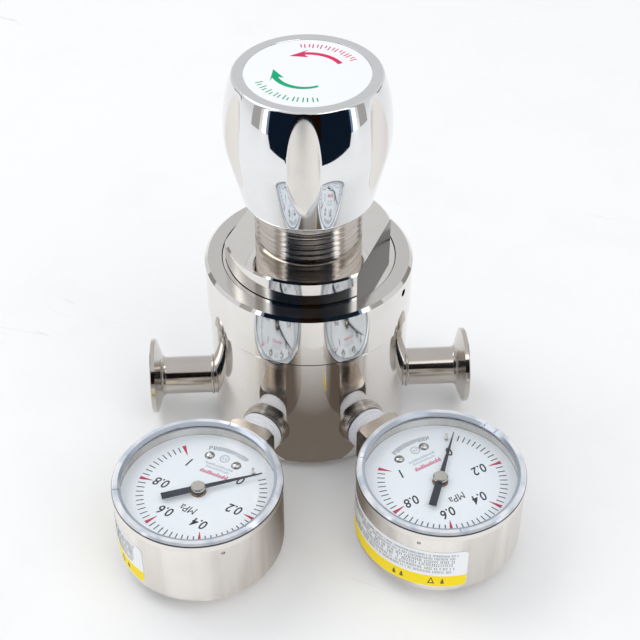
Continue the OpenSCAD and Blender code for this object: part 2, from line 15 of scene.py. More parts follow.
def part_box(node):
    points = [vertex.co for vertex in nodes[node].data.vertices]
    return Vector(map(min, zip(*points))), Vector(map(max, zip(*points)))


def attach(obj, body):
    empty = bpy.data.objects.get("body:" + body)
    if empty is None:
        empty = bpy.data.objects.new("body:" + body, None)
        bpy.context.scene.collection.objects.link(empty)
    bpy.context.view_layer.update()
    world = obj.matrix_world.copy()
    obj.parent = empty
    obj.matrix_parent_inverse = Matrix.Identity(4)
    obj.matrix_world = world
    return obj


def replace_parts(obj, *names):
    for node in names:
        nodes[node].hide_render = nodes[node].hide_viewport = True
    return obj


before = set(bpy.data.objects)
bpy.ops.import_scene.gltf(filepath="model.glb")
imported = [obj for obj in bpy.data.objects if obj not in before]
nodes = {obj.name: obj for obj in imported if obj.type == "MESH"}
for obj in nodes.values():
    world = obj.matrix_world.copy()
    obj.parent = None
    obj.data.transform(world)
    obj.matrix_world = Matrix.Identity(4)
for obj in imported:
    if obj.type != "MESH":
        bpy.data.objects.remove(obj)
bpy.context.view_layer.update()

MM = 0.001
SIDES = {"inlet": -1, "outlet": 1}
GAUGE_AZ = 31.0     # how far each gauge port is turned from the front, in degrees
FLATS_ANG = -24.8   # direction that one of the bonnet's wrench flats faces, in degrees
NECK_R = 17.2       # just outside the bonnet's threaded neck


def mid(node):
    """Centre of a node's box, in metres."""
    low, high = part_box(node)
    return (low + high) / 2


def top(node):
    """Height of a node's top, in millimetres."""
    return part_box(node)[1].z / MM


# ---------- materials ----------


class Mat:
    """A principled material with helpers that add one node and return its output."""

    def __init__(self, name):
        self.mat = bpy.data.materials.new(name)
        self.mat.use_nodes = True
        self.tree = self.mat.node_tree
        self.tree.nodes.clear()
        self.out = self.tree.nodes.new("ShaderNodeOutputMaterial")
        self.bsdf = self.tree.nodes.new("ShaderNodeBsdfPrincipled")
        self.link(self.bsdf.outputs[0], self.out.inputs[0])

    def link(self, a, b):
        self.tree.links.new(a, b)

    def put(self, socket, value):
        if isinstance(value, bpy.types.NodeSocket):
            self.link(value, socket)
        else:
            socket.default_value = value

    def node(self, kind, props=None, out=0, **inputs):
        """New node's output; inputs are set by name, or by number as i0, i1 and so on."""
        n = self.tree.nodes.new(kind)
        for k, v in (props or {}).items():
            setattr(n, k, v)
        for k, v in inputs.items():
            key = int(k[1:]) if k[0] == "i" and k[1:].isdigit() else k.replace("_", " ")
            self.put(n.inputs[key], v)
        return n.outputs[out]

    def math(self, op, a, b=0.0):
        return self.node("ShaderNodeMath", {"operation": op}, i0=a, i1=b)

    def object(self, centre=(0, 0, 0)):
        """Object coordinates in metres, measured from centre."""
        raw = self.node("ShaderNodeTexCoord", out=3)
        return self.vector("SUBTRACT", raw, tuple(centre))

    def vector(self, op, a, b, out=0):
        return self.node("ShaderNodeVectorMath", {"operation": op}, out=out, i0=a, i1=b)

    def normal(self):
        return self.node("ShaderNodeNewGeometry", out=1)

    def split(self, vector):
        n = self.tree.nodes.new("ShaderNodeSeparateXYZ")
        self.link(vector, n.inputs[0])
        return n.outputs

    def radius(self, a, b):
        squares = self.math("ADD", self.math("MULTIPLY", a, a), self.math("MULTIPLY", b, b))
        return self.math("SQRT", squares)

    def around(self, value, spread):
        """A noise value from 0 to 1 turned into a small change about zero."""
        return self.math("MULTIPLY", self.math("SUBTRACT", value, 0.5), spread)

    def noise(self, vector, scale, detail=3.0, rough=0.5, distort=0.0):
        return self.node("ShaderNodeTexNoise", Vector=vector, Scale=scale, Detail=detail,
                         Roughness=rough, Distortion=distort)

    def lines(self, w, pitch):
        """Fine machining lines across w, about one every pitch millimetres."""
        return self.node("ShaderNodeTexNoise", {"noise_dimensions": "1D"}, W=w,
                         Scale=1.0 / (pitch * MM), Detail=2.0)

    def ramp(self, value, lo, hi, to_lo, to_hi):
        return self.node("ShaderNodeMapRange", i0=value, i1=lo, i2=hi, i3=to_lo, i4=to_hi)

    def mix(self, fac, a, b):
        n = self.tree.nodes.new("ShaderNodeMix")
        n.data_type = "RGBA"
        self.put(n.inputs[0], fac)
        self.put(n.inputs[6], a)
        self.put(n.inputs[7], b)
        return n.outputs[2]

    def mixf(self, fac, a, b):
        """Mix of two plain numbers."""
        n = self.tree.nodes.new("ShaderNodeMix")
        self.put(n.inputs[0], fac)
        self.put(n.inputs[2], a)
        self.put(n.inputs[3], b)
        return n.outputs[0]

    def bump(self, height, strength, distance):
        n = self.tree.nodes.new("ShaderNodeBump")
        n.inputs["Strength"].default_value = strength
        n.inputs["Distance"].default_value = distance
        self.link(height, n.inputs["Height"])
        self.link(n.outputs[0], self.bsdf.inputs["Normal"])

    def set(self, **values):
        """Values or links for the shader's inputs, with underscores for spaces."""
        for k, v in values.items():
            self.put(self.bsdf.inputs[k.replace("_", " ")], v)


def rgb(r, g, b):
    return (r, g, b, 1.0)


def darker(tint, r, g, b):
    return rgb(tint[0] * r, tint[1] * g, tint[2] * b)


def turned(name, tint, rough, face_rough, face_tint=None, axis="Z", centre=(0, 0, 0), grain=0.35,
           pitch=0.25, smudge=0.06, spots=0.0, reflection_streak=0.0, neck=0.0, flat=None):
    """Lathe-turned metal: fine rings on faces, fine lines round the walls, and smudges.
    Extras: spots are pits, streak paints darker bands along the axis (painted reflection), neck is the
    radius inside which walls get coarser machining lines, a darker brown tone and light and dark lines
    (painted reflection and highlights), and flat is the way that a wrench flat faces, painted dark as a
    reflection."""
    m = Mat(name)
    p = m.object(centre)
    x, y, z = m.split(p)
    normal = m.split(m.normal())
    if axis == "Z":
        across, along, facing = m.radius(x, y), z, m.math("ABSOLUTE", normal[2])
    else:
        across, along, facing = m.radius(y, z), x, m.math("ABSOLUTE", normal[0])
    face = m.ramp(facing, 0.75, 0.95, 0.0, 1.0)
    marks = m.mixf(face, m.lines(along, pitch), m.lines(across, pitch))
    blur = m.noise(p, 70.0, 4.0, 0.6, 0.4)
    fine = m.noise(p, 900.0, 3.0, 0.7)
    r = m.math("ADD", m.mixf(face, rough, face_rough), m.around(marks, grain * 0.12))
    r = m.math("ADD", r, m.math("MULTIPLY", m.ramp(blur, 0.45, 0.75, 0.0, 1.0), smudge))
    r = m.math("MAXIMUM", m.math("ADD", r, m.around(fine, 0.02)), 0.012)
    base = m.mix(face, rgb(*tint), rgb(*(face_tint or tint)))
    color = m.mix(m.ramp(blur, 0.4, 0.8, 0.0, 0.35), base, darker(tint, 0.84, 0.81, 0.77))
    if spots:
        pit = m.ramp(m.noise(p, 420.0, 2.0, 0.4), 0.78, 0.82, 0.0, spots)
        color = m.mix(pit, color, rgb(0.05, 0.045, 0.04))
    # painted reflection: darker vertical bands that stand in for dark surroundings mirrored in the wall
    if reflection_streak:
        tall = m.vector("MULTIPLY", p, (1.0, 1.0, 0.07))
        band = m.ramp(m.noise(tall, 48.0, 4.0, 0.62), 0.42, 0.66, 0.0, reflection_streak)
        color = m.mix(band, color, darker(tint, 0.45, 0.40, 0.36))
    # painted reflection and highlight: inside the neck radius the walls get a darker brown tone, and light
    # and dark lines that are partly machining marks, partly painted thread-ring highlights
    if neck:
        wall = m.math("SUBTRACT", 1.0, face)
        inside = m.math("MULTIPLY", m.math("LESS_THAN", m.radius(x, y), neck * MM), wall)
        cut_and_highlight = m.lines(z, 0.5)
        color = m.mix(inside, color, m.mix(cut_and_highlight, rgb(0.49, 0.43, 0.38), rgb(0.74, 0.69, 0.64)))
        r = m.mixf(inside, r, m.mixf(cut_and_highlight, 0.22, 0.09))
    # painted reflection: the bonnet's wrench flats are coloured the dark grey of the surroundings they face
    if flat is not None:
        toward = m.vector("DOT_PRODUCT", m.normal(), flat, out=1)
        painted_flat = m.math("GREATER_THAN", m.math("ABSOLUTE", toward), 0.995)
        color = m.mix(painted_flat, color, rgb(0.13, 0.125, 0.12))
        r = m.mixf(painted_flat, r, 0.2)
    m.set(Base_Color=color, Roughness=r, Metallic=1.0)
    m.bump(m.math("ADD", marks, m.math("MULTIPLY", fine, 0.5)), grain * 0.22, 0.02 * MM)
    return m.mat


def plain(name, color, rough, scale=300.0, bump=0.1, spread=0.08, metallic=0.0, coat=0.0, spec=0.5,
          second=None, painted_glow=0.0):
    """Moulded, printed or painted surface with a fine mottled grain; its last argument adds a faint painted
    glow (emission) that lifts it a little.
    """
    m = Mat(name)
    p = m.object()
    grain = m.noise(p, scale, 4.0, 0.6)
    wide = m.noise(p, scale / 12, 3.0, 0.5)
    other = second or tuple(c * 0.9 for c in color)
    m.set(Base_Color=m.mix(m.ramp(wide, 0.35, 0.7, 0.0, 1.0), rgb(*color), rgb(*other)),
          Roughness=m.math("ADD", m.around(grain, spread), rough), Metallic=metallic)
    m.bsdf.inputs["Coat Weight"].default_value = coat
    m.bsdf.inputs["Specular IOR Level"].default_value = spec
    # painted light: a faint emission in the surface's own colour, though it is no lamp
    if painted_glow:
        m.bsdf.inputs["Emission Color"].default_value = rgb(*color)
        m.bsdf.inputs["Emission Strength"].default_value = painted_glow
    m.bump(grain, bump, 0.03 * MM)
    return m.mat


def ink(name, color, rough=0.45, spec=0.5):
    return plain(name, color, rough, 900.0, 0.1, 0.1, spec=spec)


def glass_material():
    """Clear window with a faint film that reflects at a glancing angle."""
    m = Mat("clear_glass")
    clear = m.tree.nodes.new("ShaderNodeBsdfTransparent")
    clear.inputs[0].default_value = rgb(0.975, 0.985, 0.99)
    p = m.object()
    dust = m.noise(p, 150.0, 4.0, 0.6)
    m.set(Base_Color=rgb(1.0, 1.0, 1.0), Metallic=1.0, Roughness=m.ramp(dust, 0.3, 0.8, 0.01, 0.06))
    fres = m.node("ShaderNodeFresnel", IOR=1.28)
    film = m.math("ADD", m.math("MULTIPLY", fres, 0.6), m.ramp(dust, 0.55, 0.8, 0.0, 0.02))
    mixer = m.tree.nodes.new("ShaderNodeMixShader")
    m.link(film, mixer.inputs[0])
    m.link(clear.outputs[0], mixer.inputs[1])
    m.link(m.bsdf.outputs[0], mixer.inputs[2])
    m.link(mixer.outputs[0], m.out.inputs[0])
    return m.mat


def finish(mat, *names):
    """Put one material on whole CAD nodes."""
    for n in names:
        o = nodes[n]
        if not o.material_slots:
            o.data.materials.append(mat)
        for slot in o.material_slots:
            slot.material = mat


STEEL = (0.80, 0.775, 0.745)
flat_way = (math.cos(math.radians(FLATS_ANG)), math.sin(math.radians(FLATS_ANG)), 0.0)

body_steel = turned("body_steel", STEEL, 0.05, 0.14, smudge=0.05, grain=0.3, spots=0.35)
ring_steel = turned("ring_steel", (0.82, 0.80, 0.77), 0.035, 0.15, (0.66, 0.64, 0.615), grain=0.3,
                    spots=0.35)
plate_steel = turned("plate_steel", STEEL, 0.035, 0.055, (0.77, 0.75, 0.72), grain=0.22, spots=0.5,
                     neck=NECK_R, flat=flat_way)
tube_steel = turned("tube_steel", (0.58, 0.545, 0.505), 0.11, 0.16, (0.70, 0.675, 0.64), axis="X",
                    centre=(0, 0, mid("inlet_ferrule").z), spots=0.2)
# painted shade: the bosses' dark brown tint stands in for the dark surroundings that they and their mirror
# image in the body show
boss_steel = turned("boss_steel", (0.60, 0.555, 0.51), 0.26, 0.3, grain=0.7, pitch=0.35)
inner_steel = turned("inner_steel", (0.62, 0.60, 0.57), 0.25, 0.28, grain=0.8, pitch=0.3)
brass = turned("brass_works", (0.82, 0.62, 0.30), 0.2, 0.24, grain=0.6, pitch=0.2)
spring_steel = plain("spring_steel", (0.60, 0.58, 0.55), 0.28, 900.0, 0.2, 0.12, metallic=1.0)
screw_steel = plain("screw_steel", (0.78, 0.76, 0.72), 0.16, 1200.0, 0.1, 0.1, metallic=1.0)
rubber = plain("black_rubber", (0.03, 0.03, 0.032), 0.55, 700.0, 0.3, 0.15)
gasket_grey = plain("grey_gasket", (0.56, 0.58, 0.62), 0.45, 600.0, 0.2, 0.1)
ptfe = plain("white_ptfe", (0.90, 0.91, 0.94), 0.5, 500.0, 0.25, 0.15, second=(0.83, 0.85, 0.90))
# the label, the dial and the yellow print get a faint painted glow
label_white = plain("label_white", (0.90, 0.915, 0.94), 0.22, 250.0, 0.03, 0.05, coat=0.3,
                    second=(0.88, 0.9, 0.925), painted_glow=0.05)
dial_white = plain("dial_white", (0.93, 0.95, 0.98), 0.32, 260.0, 0.03, 0.06,
                   second=(0.90, 0.93, 0.975), painted_glow=0.12)
print_yellow = plain("print_yellow", (0.95, 0.74, 0.01), 0.45, 500.0, 0.05, 0.1, spec=0.2,
                     second=(0.92, 0.69, 0.01), painted_glow=0.12)
print_black = ink("print_black", (0.025, 0.028, 0.035))
print_grey = ink("print_grey", (0.30, 0.32, 0.36))
print_pale = ink("print_pale", (0.40, 0.41, 0.45))
print_tick = ink("print_tick", (0.07, 0.085, 0.12))
print_red = ink("print_red", (0.66, 0.03, 0.09), 0.4)
print_rose = ink("print_rose", (0.74, 0.035, 0.13), 0.5, 0.15)
print_green = ink("print_green", (0.0, 0.42, 0.19), 0.5, 0.15)
glass = glass_material()

finish(body_steel, "body", "bottom_plug")
finish(ring_steel, "upper_housing")
finish(plate_steel, "bonnet")
finish(tube_steel, "inlet_ferrule", "outlet_ferrule")
finish(boss_steel, "inlet_gauge_boss", "outlet_gauge_boss")
finish(inner_steel, "clamp_ring", "diaphragm_plate", "poppet", "spring_button", "knob_pusher",
       "thrust_ball")
finish(spring_steel, "poppet_spring", "range_spring")
finish(rubber, "plug_oring", "diaphragm_oring")
finish(brass, "diaphragm")
finish(ptfe, "seat_insert")
finish(label_white, "knob_label")


# ---------- mesh helpers (sizes in millimetres, angles in degrees) ----------

INK_THICK = 0.03    # flat prints
INK_GAP = 0.005     # their height above the face they are printed on


def add_piece(name, verts, faces, mat, body, slot, matrix=None, smooth=True, sharp=None):
    """New piece on a body, from points in millimetres; edges over sharp degrees stay crisp."""
    mesh = bpy.data.meshes.new(name)
    mesh.from_pydata([tuple(c * MM for c in v) for v in verts], [], faces)
    mesh.materials.append(mat)
    for p in mesh.polygons:
        p.use_smooth = smooth
    if matrix is not None:
        mesh.transform(matrix)
    bm = bmesh.new()
    bm.from_mesh(mesh)
    bmesh.ops.recalc_face_normals(bm, faces=bm.faces)
    bm.to_mesh(mesh)
    bm.free()
    if sharp is not None:
        mesh.set_sharp_from_angle(angle=math.radians(sharp))
    obj = bpy.data.objects.new(name, mesh)
    bpy.context.scene.collection.objects.link(obj)
    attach(obj, body)
    return obj


def prism_faces(b, n):
    """Faces of a closed prism: n corners of its base from index b on, then n of its top."""
    ends = [[b + i for i in reversed(range(n))], [b + n + i for i in range(n)]]
    return ends + [[b + i, b + (i + 1) % n, b + n + (i + 1) % n, b + n + i] for i in range(n)]


def add_prisms(name, polys, z, mat, body, slot, matrix=None):
    """Flat printed shapes: closed prisms of outlines of (x, y), standing on height z."""
    verts, faces = [], []
    for poly in polys:
        faces += prism_faces(len(verts), len(poly))
        verts += [(x, y, z) for x, y in poly] + [(x, y, z + INK_THICK) for x, y in poly]
    add_piece(name, verts, faces, mat, body, slot, matrix, smooth=False)


def lathe(point, rings, steps):
    """Vertices and faces of a closed skin: point(i, a) gives ring i's point at angle a.
    The first and last rings are single points on the axis."""
    verts = [point(0, 0.0)]
    for i in range(1, rings - 1):
        verts += [point(i, 2 * math.pi * k / steps) for k in range(steps)]
    verts.append(point(rings - 1, 0.0))
    last = len(verts) - 1
    faces = [(0, 1 + k, 1 + (k + 1) % steps) for k in range(steps)]
    for i in range(rings - 3):
        b = 1 + i * steps
        faces += [(b + k, b + steps + k, b + steps + (k + 1) % steps, b + (k + 1) % steps)
                  for k in range(steps)]
    b = last - steps
    faces += [(b + (k + 1) % steps, b + k, last) for k in range(steps)]
    return verts, faces


def clock(a, r):
    """Point at radius r, a degrees clockwise from 12 o'clock."""
    a = math.radians(a)
    return (r * math.sin(a), r * math.cos(a))


def polar(a, r):
    """Point at radius r, a degrees anticlockwise from +X."""
    a = math.radians(a)
    return (r * math.cos(a), r * math.sin(a))


def radial_bar(place, a, r0, r1, w0, w1=None):
    """Four-cornered bar along a radius at angle a; place is clock or polar."""
    w1 = w0 if w1 is None else w1
    h0, h1 = math.degrees(w0 / 2 / r0), math.degrees(w1 / 2 / r1)
    return [place(a - h0, r0), place(a + h0, r0), place(a + h1, r1), place(a - h1, r1)]


def arc_bar(place, a0, a1, r, w):
    """Curved bar of width w along radius r."""
    steps = 4
    span = [a0 + (a1 - a0) * i / steps for i in range(steps + 1)]
    return [place(a, r - w / 2) for a in span] + [place(a, r + w / 2) for a in reversed(span)]


def arc_cells(place, a0, a1, r, height, count, weight, seed):
    """Generic print: pairs of plain radial strokes along an arc."""
    rnd = random.Random(seed)
    out = []
    pitch = (a1 - a0) / count
    half = abs(pitch) * 0.22
    for i in range(count):
        a = a0 + pitch * (i + 0.5)
        low = height / 2 * rnd.choice((0.3, 0.6, 1.0))
        out.append(radial_bar(place, a - half, r - height / 2, r + height / 2, weight))
        out.append(radial_bar(place, a + half, r - low, r + height / 2, weight))
    return out


def row_cells(x0, x1, y, height, count, weight, seed):
    """Generic print: pairs of plain strokes in a straight row."""
    rnd = random.Random(seed)
    out = []
    pitch = (x1 - x0) / count
    for i in range(count):
        for k in range(2):
            u = x0 + pitch * (i + 0.2 + 0.45 * k)
            low = y - height / 2 * rnd.choice((0.3, 1.0))
            out.append([(u, low), (u + weight, low), (u + weight, y + height / 2), (u, y + height / 2)])
    return out


# ---------- gauges ----------

# levels and radii in the gauge's own drawing, from the underside of its case
GAUGE_LEVEL = 40.1   # bezel's face
BEZEL_R = 25.05
CASE_R = 24.92
DIAL_Z = 34.5
CAP_Z = 36.3         # underside of the pointer's hub cap
STEM_Z = 26.2        # axis of the stem
SCALE_START, SCALE_SWEEP = 225.0, 270.0
SCREW_ROW = 14.3     # distance of the screws and the mark from the dial's centre
# small turn and offset of each printed face on its posts
DIAL_TURN = {"inlet": -2.5, "outlet": 3.0}
DIAL_SHIFT = {"inlet": (-0.8, -0.45), "outlet": (-0.75, 0.1)}


def gauge_size(name):
    """Size of a gauge against its own drawing."""
    low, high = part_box(name + "_gauge_bezel")
    return (high.x - low.x) / MM / 2 / BEZEL_R


def gauge_height(name, z):
    """Height in metres of level z in a gauge's drawing."""
    return (top(name + "_gauge_bezel") + gauge_size(name) * (z - GAUGE_LEVEL)) * MM


def gauge_frame(name, side):
    """Matrix from a gauge's own drawing to the frame: local +Y is 12 o'clock, +Z up."""
    arbor = mid(name + "_gauge_arbor")
    turn = Matrix.Rotation(math.radians(180 + side * GAUGE_AZ), 4, "Z")
    place = Matrix.Translation((arbor.x, arbor.y, gauge_height(name, 0.0)))
    return place @ turn @ Matrix.Scale(gauge_size(name), 4)


def scale_angle(value):
    """Clock angle of a reading from 0 to 1."""
    return SCALE_START + SCALE_SWEEP * value


def numeral(text, x, y, size, name, matrix):
    """A printed number or unit, slanted, upright to 12 o'clock."""
    curve = bpy.data.curves.new(name, "FONT")
    curve.body = text
    curve.size = size * MM
    curve.shear = 0.22
    curve.align_x = "CENTER"
    curve.align_y = "CENTER"
    curve.extrude = 0.015 * MM
    curve.offset = 0.06 * MM if text[0].isdigit() else 0.0
    curve.resolution_u = 4
    temp = bpy.data.objects.new(name + "_outline", curve)
    bpy.context.scene.collection.objects.link(temp)
    mesh = bpy.data.meshes.new_from_object(temp)
    bpy.data.objects.remove(temp)
    bpy.data.curves.remove(curve)
    mesh.name = name
    bm = bmesh.new()
    bm.from_mesh(mesh)
    bmesh.ops.remove_doubles(bm, verts=bm.verts, dist=1e-7)
    bmesh.ops.scale(bm, vec=(0.86, 1.0, 1.0), verts=bm.verts)
    bmesh.ops.recalc_face_normals(bm, faces=bm.faces)
    bm.to_mesh(mesh)
    bm.free()
    mesh.materials.clear()
    mesh.materials.append(print_black)
    mesh.transform(matrix @ Matrix.Translation((x * MM, y * MM, (DIAL_Z + 0.02) * MM)))
    obj = bpy.data.objects.new(name, mesh)
    bpy.context.scene.collection.objects.link(obj)
    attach(obj, "valve")


def dial_prints(name, matrix):
    """Scale, numbers and unit, and plain strokes where the maker's rows and mark would be."""
    dx, dy = DIAL_SHIFT[name]
    turn = Matrix.Rotation(math.radians(-DIAL_TURN[name]), 4, "Z")
    matrix = matrix @ Matrix.Translation((dx * MM, dy * MM, 0)) @ turn

    def printed(part, polys, mat):
        add_prisms("%s_dial_%s" % (name, part), polys, DIAL_Z + INK_GAP, mat, "valve", "white_dial", matrix)

    printed("ticks", [radial_bar(clock, scale_angle(i / 50), 17.0, 19.3, 0.32)
                      for i in range(51) if i % 10], print_tick)
    printed("wedges", [radial_bar(clock, scale_angle(i / 5), 15.3, 19.4, 0.12, 1.25)
                       for i in range(1, 6)], print_red)
    for i in range(6):
        text = "0" if i == 0 else "1" if i == 5 else "0.%d" % (2 * i)
        x, y = clock(scale_angle(i / 5), 12.3)
        numeral(text, x, y, 4.5, "%s_dial_number_%d" % (name, i), matrix)
    numeral("MPa", 0.0, 7.6, 3.6, name + "_dial_unit", matrix)
    printed("upper_row", arc_cells(clock, 202, 158, 17.6, 1.6, 10, 0.24, 3), print_black)

    def low_clock(a, r):
        x, y = clock(a, r)
        return (x, y - SCREW_ROW)

    mark = [arc_bar(low_clock, a, a + 45, 1.35, 0.2) for a in range(0, 360, 45)]
    mark += [[(x, -14.8), (x + 0.25, -14.8), (x + 0.25, -13.8), (x, -13.8)] for x in (-0.6, 0.35)]
    printed("ring", mark, print_grey)
    pale = row_cells(-4.6, 4.6, -10.9, 0.95, 12, 0.14, 5) + row_cells(-3.9, 3.9, -9.6, 0.85, 10, 0.13, 6)
    printed("pale_rows", pale, print_pale)
    printed("red_row", row_cells(-4.6, 4.6, -7.6, 1.5, 9, 0.3, 7), print_rose)


STICKER_START = {"inlet": 9.6, "outlet": 18.4}   # clock angle of each sticker's first end
STICKER_SPAN = 115.0
STICKER_Z0, STICKER_Z1 = 17.0, 32.0
STICKER_YELLOW = 21.6    # top of the yellow band
STICKER_CORNER = 1.6
FILM_THICK, BAND_THICK = 0.07, 0.02


def wrap(polys, r, thick):
    """Closed curved prisms from outlines of (clock angle, z) round a case of radius r."""
    verts, faces = [], []
    for poly in polys:
        faces += prism_faces(len(verts), len(poly))
        for rr in (r, r + thick):
            verts += [(*clock(a, rr), z) for a, z in poly]
    return verts, faces


def corner_cut(corner, gap):
    """How much a corner of this radius takes off, at a distance gap from the sheet's end."""
    if gap >= corner:
        return 0.0
    return corner - math.sqrt(max(0.0, corner ** 2 - (corner - gap) ** 2))


def curved_sheet(a0, a1, z0, z1, corner_low, corner_high, r, thick):
    """One closed curved patch with rounded corners, as columns between the two ends."""
    verts, faces = [], []
    steps = 46
    deg = math.degrees(1 / r)
    for i in range(steps + 1):
        t = i / steps
        ends = 0.5 - 0.5 * math.cos(math.pi * t)
        a = a0 + (a1 - a0) * ends
        gap = min(a - a0, a1 - a) / deg
        for rr in (r, r + thick):
            for z in (z0 + corner_cut(corner_low, gap), z1 - corner_cut(corner_high, gap)):
                verts.append((*clock(a, rr), z))
    for i in range(steps):
        b, c = 4 * i, 4 * i + 4
        faces += [(b, b + 1, c + 1, c), (b + 2, c + 2, c + 3, b + 3), (b, c, c + 2, b + 2),
                  (b + 1, b + 3, c + 3, c + 1)]
    faces += [(0, 2, 3, 1), (4 * steps, 4 * steps + 1, 4 * steps + 3, 4 * steps + 2)]
    return verts, faces


def sticker(name, matrix):
    """Printed film round part of the case: white with rows of plain strokes, yellow foot."""
    first, last = STICKER_START[name], STICKER_START[name] + STICKER_SPAN

    def piece(part, shape, mat, sharp=None):
        return add_piece("%s_sticker_%s" % (name, part), *shape, mat, "valve", "white_label", matrix,
                         smooth=sharp is not None, sharp=sharp)

    film = curved_sheet(first, last, STICKER_Z0, STICKER_Z1, STICKER_CORNER, STICKER_CORNER, CASE_R,
                        FILM_THICK)
    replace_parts(piece("film", film, label_white, 40), name + "_gauge_sticker")
    band = curved_sheet(first + 0.2, last - 0.2, STICKER_Z0 + 0.05, STICKER_YELLOW, STICKER_CORNER, 0.0,
                        CASE_R + FILM_THICK, BAND_THICK)
    piece("band", band, print_yellow, 40)
    rnd = random.Random(11 if name == "inlet" else 12)
    marks = []

    def cell(a, z, w, h):
        """One stroke, w degrees wide; the rows below are laid out for a sticker that starts at 15."""
        a += first - 15
        marks.append([(a, z), (a + w, z), (a + w, z + h), (a, z + h)])

    # rows of strokes: foot, height, width of a cell, and the first and last angle
    rows = [(30.2, 0.7, 0.5, 22, 125), (28.9, 0.75, 0.55, 24, 118), (27.4, 1.0, 0.8, 24, 98),
            (25.9, 1.05, 0.85, 24, 92), (24.4, 0.9, 0.7, 24, 104), (23.0, 0.8, 0.6, 26, 112)]
    for z, h, w, a0, a1 in rows:
        a = a0
        while a < a1:
            if rnd.random() < 0.86:
                cell(a, z, w * rnd.uniform(0.5, 0.9), 0.16)
                cell(a, z + h - 0.16, w * rnd.uniform(0.6, 1.0), 0.16)
                cell(a + w * rnd.choice((0.1, 0.6)), z + 0.1, w * 0.28, h - 0.2)
            a += w * rnd.uniform(1.35, 1.9)
    # plain blots on the yellow band
    for a in (30.0, 58.0, 63.5):
        cell(a, 18.4, 2.6, 0.5)
        cell(a + 0.3, 19.2, 2.0, 0.45)
        cell(a + 0.9, 18.2, 0.7, 2.2)
    surface = CASE_R + FILM_THICK + BAND_THICK
    piece("marks", wrap(marks, surface, BAND_THICK), print_black)
    outer = [(first + a, z) for a, z in ((21.5, 18.2), (26.2, 18.2), (23.85, 21.1))]
    inner = [(first + a, z) for a, z in ((22.5, 18.6), (25.2, 18.6), (23.85, 20.3))]
    sides = [[outer[i], outer[(i + 1) % 3], inner[(i + 1) % 3], inner[i]] for i in range(3)]
    piece("frame", wrap(sides, surface, BAND_THICK), print_black)


def tape(name, matrix):
    """White sealing tape in overlapping uneven wraps, on the stem's thread."""
    start_y, length = -32.75, 4.9
    inner, outer, wraps, lap = 6.42, 6.62, 3.4, 0.26
    rings, steps = 44, 144

    def radius(t, a):
        """Outer radius at t along the tape and angle a: laps, ripples, and ends that taper."""
        turns = wraps * t + a / (2 * math.pi)
        edge = turns - math.floor(turns)
        wave = 0.05 * math.sin(3 * a + 5 * t) + 0.035 * math.sin(7 * a - 9 * t + 1.3)
        ease = min(1.0, t / 0.05, (1 - t) / 0.07)
        return outer + (lap * (1 - edge) ** 0.6 + wave + 0.04) * max(ease, 0.0)

    profile = [("in", 0.0)] + [("out", i / (rings - 1)) for i in range(rings)] + [("in", 1.0)]
    verts, faces = [], []
    for kind, t in profile:
        for k in range(steps):
            a = 2 * math.pi * k / steps
            r = inner if kind == "in" else radius(t, a)
            verts.append((r * math.cos(a), start_y - t * length, STEM_Z + r * math.sin(a)))
    count = len(profile)
    for i in range(count):
        for k in range(steps):
            b, c = i * steps, ((i + 1) % count) * steps
            faces.append((b + k, b + (k + 1) % steps, c + (k + 1) % steps, c + k))
    piece = add_piece(name + "_tape_wraps", verts, faces, ptfe, "valve", "white_ptfe", matrix, sharp=50)
    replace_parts(piece, name + "_gauge_tape")


def pointer_material(name):
    """Blue-black enamel with a bright nickel hub cap above the needle."""
    m = Mat(name + "_pointer_enamel")
    p = m.object()
    cap = m.math("GREATER_THAN", m.split(p)[2], gauge_height(name, CAP_Z))
    grain = m.noise(p, 900.0, 3.0, 0.6)
    dark = m.mix(m.ramp(grain, 0.3, 0.7, 0.0, 1.0), rgb(0.010, 0.014, 0.026), rgb(0.02, 0.027, 0.045))
    m.set(Base_Color=m.mix(cap, dark, rgb(0.66, 0.61, 0.54)), Metallic=cap,
          Roughness=m.math("ADD", m.mixf(cap, 0.3, 0.2), m.around(grain, 0.1)))
    m.bump(grain, 0.1, 0.01 * MM)
    return m.mat


def rim_material(name, axis):
    """Snap ring: satin wall like the case, dark edge line, pale glossy lip like clear plastic."""
    m = Mat(name + "_bezel_rim")
    wall_top, line_z0, line_z1 = (gauge_height(name, z) for z in (39.28, 39.0, 39.5))
    line_r, lip_r, glass_r = (gauge_size(name) * r * MM for r in (24.6, 23.3, 23.1))
    p = m.object(axis)
    x, y, z = m.split(p)
    r = m.radius(x, y)
    wall = m.math("LESS_THAN", z, wall_top)
    line = m.math("MULTIPLY", m.math("GREATER_THAN", z, line_z0), m.math("LESS_THAN", z, line_z1))
    line = m.math("MULTIPLY", line, m.math("GREATER_THAN", r, line_r))
    wave = m.noise(p, 130.0, 3.0, 0.5, 0.6)
    fine = m.noise(p, 900.0, 3.0, 0.7)
    edge = m.ramp(r, lip_r, glass_r, 0.0, 1.0)
    lip = m.mix(m.ramp(wave, 0.35, 0.65, 0.0, 1.0), rgb(0.60, 0.66, 0.74), rgb(0.92, 0.94, 0.97))
    lip = m.mix(edge, lip, rgb(0.42, 0.47, 0.54))
    tint = m.mix(wall, lip, rgb(0.86, 0.825, 0.785))
    tint = m.mix(line, tint, rgb(0.10, 0.10, 0.11))
    m.set(Base_Color=tint, Metallic=m.mixf(wall, 0.35, 1.0),
          Roughness=m.math("ADD", m.mixf(wall, 0.12, 0.25), m.around(fine, 0.04)))
    m.bump(fine, 0.05, 0.01 * MM)
    return m.mat


